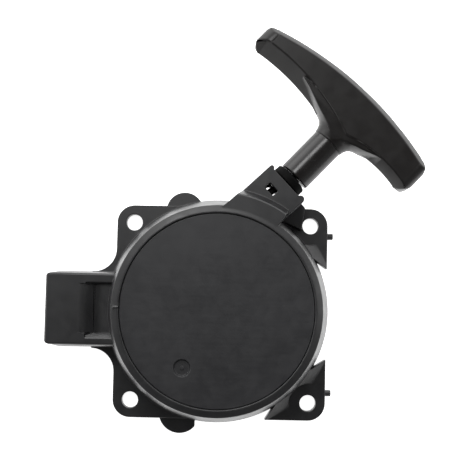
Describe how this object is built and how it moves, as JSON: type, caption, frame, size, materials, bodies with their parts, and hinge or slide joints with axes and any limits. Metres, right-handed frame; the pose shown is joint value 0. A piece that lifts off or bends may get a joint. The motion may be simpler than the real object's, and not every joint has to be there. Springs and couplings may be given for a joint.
{
  "type": "recoil starter",
  "caption": "Round black recoil starter with a square bolt flange, side duct, angled rope nozzle, rope pulley with pawls inside and a T-shaped pull grip.",
  "frame": {"origin": "centre of the four-bolt pattern on the mounting face", "axes": "+Z along the pulley axis, away from the engine; +X and +Y right and up, seen from the cover side"},
  "size_m": [0.1479, 0.1615, 0.0384],
  "materials": {
    "housing_plastic": "fine satin moulded plastic",
    "cover_plastic": "satin moulded plastic with faint flow marks",
    "bushing_rubber": "smooth black rubber-like plastic",
    "grip_plastic": "semi-gloss moulded plastic",
    "sleeve_plastic": "semi-gloss moulded plastic",
    "steel": "zinc-plated steel",
    "pawl_steel": "hardened steel",
    "spring_steel": "blued spring steel strip",
    "pulley_plastic": "natural glass-filled nylon",
    "bearing_bronze": "sintered bronze",
    "rope_fibre": "braided black nylon rope"
  },
  "bodies": {
    "housing_body": {"housing": "housing_plastic", "cover_disc": "cover_plastic", "centre_post": "steel", "spring_cup": "steel", "spring_anchor": "steel", "recoil_spring": "spring_steel", "rope_bushing": "bushing_rubber", "thrust_washer": "steel", "centre_screw": "steel", "rope_inner": "rope_fibre"},
    "pulley_body": {"pulley": "pulley_plastic", "pulley_bearing": "bearing_bronze", "rope_coil": "rope_fibre", "pulley_knot": "rope_fibre", "pawl_pins": "steel"},
    "friction_body": {"friction_plate": "steel", "friction_spring": "spring_steel"},
    "pawl_1_body": {"pawl_1": "pawl_steel"},
    "pawl_2_body": {"pawl_2": "pawl_steel"},
    "handle_body": {"grip": "grip_plastic", "grip_sleeve": "sleeve_plastic", "knot_washer": "steel", "handle_knot": "rope_fibre", "rope_outer": "rope_fibre"}
  },
  "joints": [
    {"name": "pulley_spin", "type": "hinge", "parent": "housing_body", "child": "pulley_body", "pos_m": [-0.0015, 0.0007, 0.02], "axis": [0, 0, 1], "range_deg": [-1800, 0], "stiffness_Nm_per_rad": 0.0078, "springref_deg": 733.39, "deforming": ["recoil_spring", "rope_coil", "rope_inner"]},
    {"name": "handle_pull", "type": "slide", "parent": "housing_body", "child": "handle_body", "axis": [0.6871, 0.7266, 0], "range_m": [0, 0.78], "deforming": ["rope_outer"]},
    {"name": "friction_turn", "type": "hinge", "parent": "pulley_body", "child": "friction_body", "pos_m": [-0.0015, 0.0007, 0.01], "axis": [0, 0, 1], "range_deg": [0, 25]},
    {"name": "pawl_1_swing", "type": "hinge", "parent": "pulley_body", "child": "pawl_1_body", "pos_m": [-0.0015, 0.0162, 0.0135], "axis": [0, 0, 1], "range_deg": [0, 32]},
    {"name": "pawl_2_swing", "type": "hinge", "parent": "pulley_body", "child": "pawl_2_body", "pos_m": [-0.0015, -0.0148, 0.0135], "axis": [0, 0, 1], "range_deg": [0, 32]}
  ],
  "couplings": [
    {"joint": "handle_pull", "follows": "pulley_spin", "m_per_rad": -0.0248},
    {"joint": "pawl_1_swing", "follows": "friction_turn", "ratio": 1.28},
    {"joint": "pawl_2_swing", "follows": "friction_turn", "ratio": 1.28}
  ]
}
